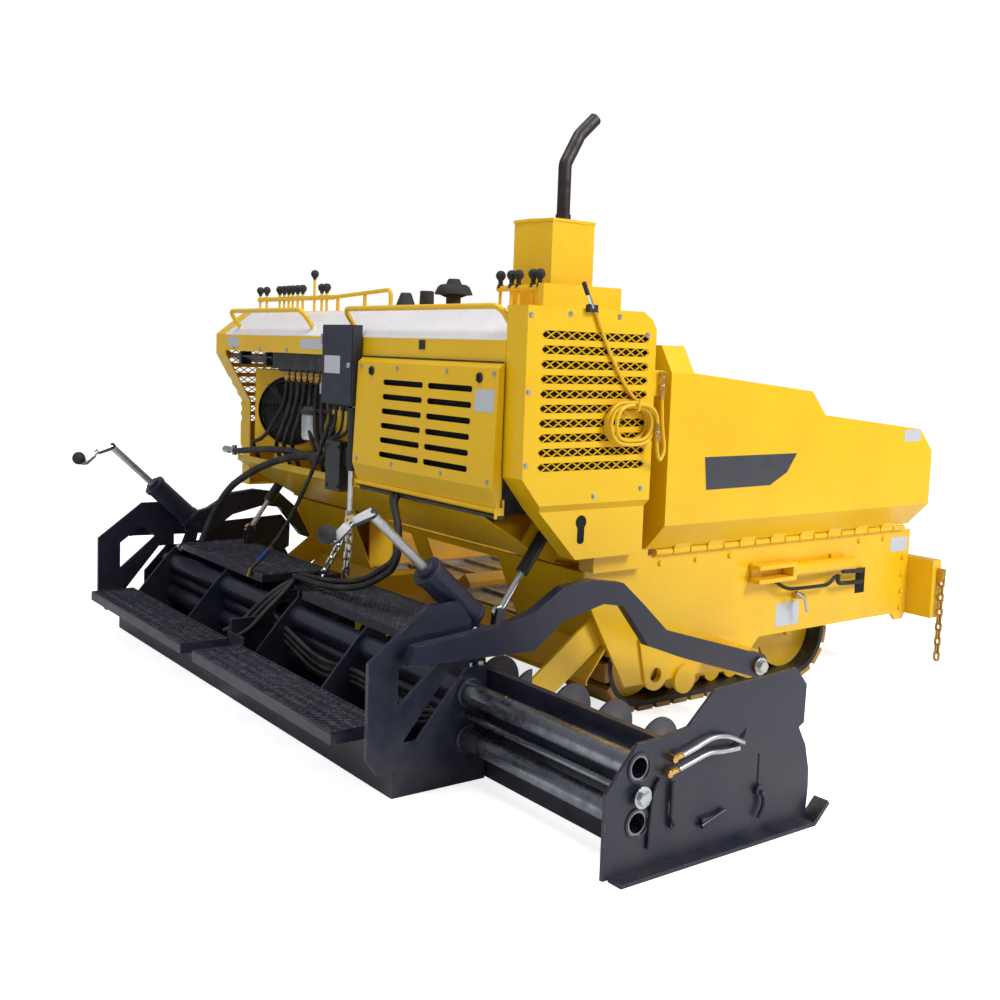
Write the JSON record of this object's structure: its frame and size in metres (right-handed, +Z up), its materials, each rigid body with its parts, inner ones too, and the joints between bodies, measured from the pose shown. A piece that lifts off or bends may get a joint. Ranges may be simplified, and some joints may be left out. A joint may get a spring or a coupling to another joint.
{
  "type": "asphalt paver",
  "caption": "Tracked asphalt paver with folding hopper wings, slat conveyors, augers and a towed screed with sliding extensions, walkways and tow arms.",
  "frame": {"origin": "on the ground below the middle of the machine's bounding box", "axes": "+X to the machine's right side, +Y forward towards the hopper, +Z up"},
  "size_m": [3.611, 3.4749, 2.3593],
  "materials": {
    "yellow_paint": "bright yellow machine enamel",
    "navy_paint": "dark blue-grey semi-gloss enamel",
    "black_paint": "black satin enamel",
    "bare_steel": "worn steel",
    "chrome_rod": "hard chrome",
    "engine_iron": "dark painted castings",
    "track_rubber": "track with dusty shoes",
    "yellow_hose": "smooth yellow hose cover",
    "black_plastic": "matt black"
  },
  "bodies": {
    "tractor": {"main_frame": "yellow_paint", "hopper_tub": "yellow_paint", "conveyor_left": "bare_steel", "conveyor_right": "bare_steel", "hopper_back": "yellow_paint", "side_plate_left": "yellow_paint", "side_plate_right": "yellow_paint", "track_left": "track_rubber", "track_right": "track_rubber", "track_frame_left": "yellow_paint", "track_frame_right": "yellow_paint", "front_beam": "yellow_paint", "rear_pan": "yellow_paint", "auger_frame": "yellow_paint", "engine": "engine_iron", "hood_roof": "yellow_paint", "side_box_left": "yellow_paint", "side_box_right": "yellow_paint", "rear_wall": "yellow_paint", "control_cabinet": "black_paint", "hoist_barrel": "black_paint", "cooler": "black_paint", "tower": "yellow_paint", "exhaust_pipe": "black_paint", "pre_cleaner": "black_plastic", "levers_left": "yellow_paint", "levers_right": "yellow_paint", "console_right": "yellow_paint", "side_cylinder_left": "yellow_paint", "side_cylinder_right": "yellow_paint", "hanging_chain": "bare_steel", "wash_hose": "yellow_hose", "hose_coil": "yellow_hose", "spray_gun": "black_plastic"},
    "wing_left": {"wing_left": "yellow_paint"},
    "wing_right": {"wing_right": "yellow_paint"},
    "push_roller_left": {"push_roller_left": "bare_steel"},
    "push_roller_right": {"push_roller_right": "bare_steel"},
    "auger_left": {"auger_left": "navy_paint"},
    "auger_right": {"auger_right": "navy_paint"},
    "louvre_door": {"louvre_door": "yellow_paint"},
    "cooling_fan": {"cooling_fan": "black_plastic"},
    "screed": {"screed_frame": "navy_paint", "walkway_left": "navy_paint", "walkway_right": "navy_paint", "tow_arm_left": "navy_paint", "tow_arm_right": "navy_paint", "depth_crank_left": "navy_paint", "depth_crank_right": "navy_paint"},
    "extension_left": {"extension_left": "navy_paint", "end_gate_left": "navy_paint"},
    "extension_right": {"extension_right": "navy_paint", "end_gate_right": "navy_paint"},
    "lift_barrel_left": {"lift_barrel_left": "black_paint"},
    "lift_barrel_right": {"lift_barrel_right": "black_paint"},
    "lift_rod_left": {"lift_rod_left": "chrome_rod"},
    "lift_rod_right": {"lift_rod_right": "chrome_rod"},
    "hoist_rod": {"hoist_rod": "chrome_rod"}
  },
  "joints": [
    {"name": "screed_lift", "type": "hinge", "parent": "tractor", "child": "screed", "pos_m": [-0.3435, 0.1625, 0.24], "axis": [-1, 0, 0], "range_deg": [0, 6.5]},
    {"name": "hoist_travel", "type": "slide", "parent": "tractor", "child": "hoist_rod", "axis": [0, 0, 1], "range_m": [0, 0.1349]},
    {"name": "wing_left_fold", "type": "hinge", "parent": "tractor", "child": "wing_left", "pos_m": [-1.5055, 0.5695, 0.685], "axis": [0, 1, 0], "range_deg": [0, 45]},
    {"name": "push_roller_left_spin", "type": "hinge", "parent": "tractor", "child": "push_roller_left", "pos_m": [-0.7735, 1.6625, 0.4], "axis": [1, 0, 0], "continuous": true},
    {"name": "auger_left_spin", "type": "hinge", "parent": "tractor", "child": "auger_left", "pos_m": [-0.9435, -0.7925, 0.152], "axis": [1, 0, 0], "continuous": true},
    {"name": "lift_barrel_left_swing", "type": "hinge", "parent": "tractor", "child": "lift_barrel_left", "pos_m": [-1.3985, -0.6825, 0.79], "axis": [-1, 0, 0], "range_deg": [0, 10.18]},
    {"name": "lift_rod_left_travel", "type": "slide", "parent": "lift_barrel_left", "child": "lift_rod_left", "axis": [0, 0.5866, 0.8099], "range_m": [0, 0.1139]},
    {"name": "wing_right_fold", "type": "hinge", "parent": "tractor", "child": "wing_right", "pos_m": [0.8185, 0.5695, 0.685], "axis": [0, -1, 0], "range_deg": [0, 45]},
    {"name": "push_roller_right_spin", "type": "hinge", "parent": "tractor", "child": "push_roller_right", "pos_m": [0.0865, 1.6625, 0.4], "axis": [1, 0, 0], "continuous": true},
    {"name": "auger_right_spin", "type": "hinge", "parent": "tractor", "child": "auger_right", "pos_m": [0.2565, -0.7925, 0.152], "axis": [1, 0, 0], "continuous": true},
    {"name": "lift_barrel_right_swing", "type": "hinge", "parent": "tractor", "child": "lift_barrel_right", "pos_m": [0.7115, -0.6825, 0.79], "axis": [-1, 0, 0], "range_deg": [0, 10.18]},
    {"name": "lift_rod_right_travel", "type": "slide", "parent": "lift_barrel_right", "child": "lift_rod_right", "axis": [0, 0.5866, 0.8099], "range_m": [0, 0.1139]},
    {"name": "extension_right_slide", "type": "slide", "parent": "screed", "child": "extension_right", "axis": [1, 0, 0], "range_m": [-0.15, 0.13]},
    {"name": "extension_left_slide", "type": "slide", "parent": "screed", "child": "extension_left", "axis": [-1, 0, 0], "range_m": [0, 0.82]},
    {"name": "cooling_fan_spin", "type": "hinge", "parent": "tractor", "child": "cooling_fan", "pos_m": [-1.1435, -0.7925, 1.12], "axis": [0.769, -0.6392, 0], "continuous": true},
    {"name": "louvre_door_swing", "type": "hinge", "parent": "tractor", "child": "louvre_door", "pos_m": [0.3535, -1.0125, 0.891], "axis": [1, 0, 0], "range_deg": [0, 60]}
  ],
  "couplings": [
    {"joint": "hoist_travel", "follows": "screed_lift", "m_per_rad": 1.18},
    {"joint": "lift_barrel_left_swing", "follows": "screed_lift", "ratio": 1.55},
    {"joint": "lift_rod_left_travel", "follows": "screed_lift", "m_per_rad": 0.9955},
    {"joint": "lift_barrel_right_swing", "follows": "screed_lift", "ratio": 1.55},
    {"joint": "lift_rod_right_travel", "follows": "screed_lift", "m_per_rad": 0.9955}
  ]
}
